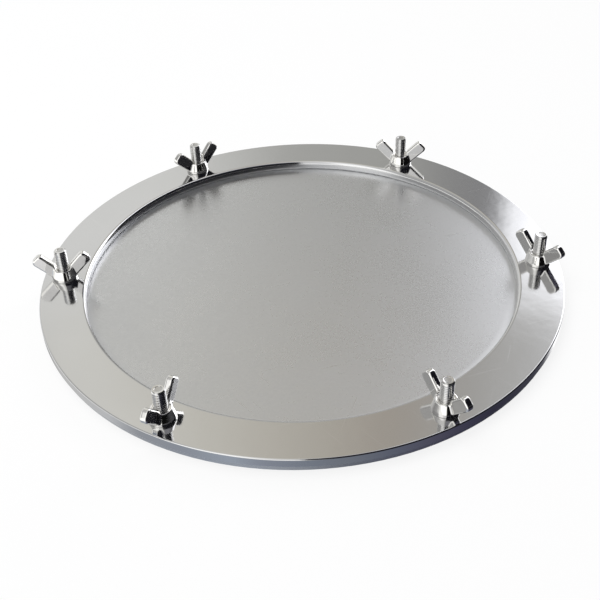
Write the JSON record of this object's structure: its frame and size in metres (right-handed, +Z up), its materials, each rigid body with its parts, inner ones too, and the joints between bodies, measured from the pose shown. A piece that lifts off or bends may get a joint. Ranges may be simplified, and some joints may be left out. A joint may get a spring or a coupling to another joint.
{
  "type": "round cover plate",
  "caption": "Round metal cover plate: a flat disc under a flat polished clamping ring, held by threaded studs and wing nuts.",
  "frame": {"origin": "centre of the disc's underside", "axes": "+Z up along the studs, +X from the centre to the first stud"},
  "size_m": [0.3447, 0.34, 0.0312],
  "materials": {
    "polished_steel": "polished",
    "satin_steel": "satin",
    "stud_steel": "bright",
    "nut_plating": "bright"
  },
  "bodies": {
    "cover": {"clamp_ring": "polished_steel", "cover_disc": "satin_steel", "stud_1": "stud_steel", "stud_2": "stud_steel", "stud_3": "stud_steel", "stud_4": "stud_steel", "stud_5": "stud_steel", "stud_6": "stud_steel"},
    "nut_1": {"wing_nut_1": "nut_plating"},
    "nut_2": {"wing_nut_2": "nut_plating"},
    "nut_3": {"wing_nut_3": "nut_plating"},
    "nut_4": {"wing_nut_4": "nut_plating"},
    "nut_5": {"wing_nut_5": "nut_plating"},
    "nut_6": {"wing_nut_6": "nut_plating"}
  },
  "joints": [
    {"name": "nut_1_turn", "type": "hinge", "parent": "cover", "child": "nut_1", "pos_m": [0.156, 0, 0.01], "axis": [0, 0, 1], "range_deg": [0, 3915]},
    {"name": "nut_2_turn", "type": "hinge", "parent": "cover", "child": "nut_2", "pos_m": [0.078, 0.1351, 0.01], "axis": [0, 0, 1], "range_deg": [0, 3915]},
    {"name": "nut_3_turn", "type": "hinge", "parent": "cover", "child": "nut_3", "pos_m": [-0.078, 0.1351, 0.01], "axis": [0, 0, 1], "range_deg": [0, 3915]},
    {"name": "nut_4_turn", "type": "hinge", "parent": "cover", "child": "nut_4", "pos_m": [-0.156, 0, 0.01], "axis": [0, 0, 1], "range_deg": [0, 3915]},
    {"name": "nut_5_turn", "type": "hinge", "parent": "cover", "child": "nut_5", "pos_m": [-0.078, -0.1351, 0.01], "axis": [0, 0, 1], "range_deg": [0, 3915]},
    {"name": "nut_6_turn", "type": "hinge", "parent": "cover", "child": "nut_6", "pos_m": [0.078, -0.1351, 0.01], "axis": [0, 0, 1], "range_deg": [0, 3915]}
  ]
}
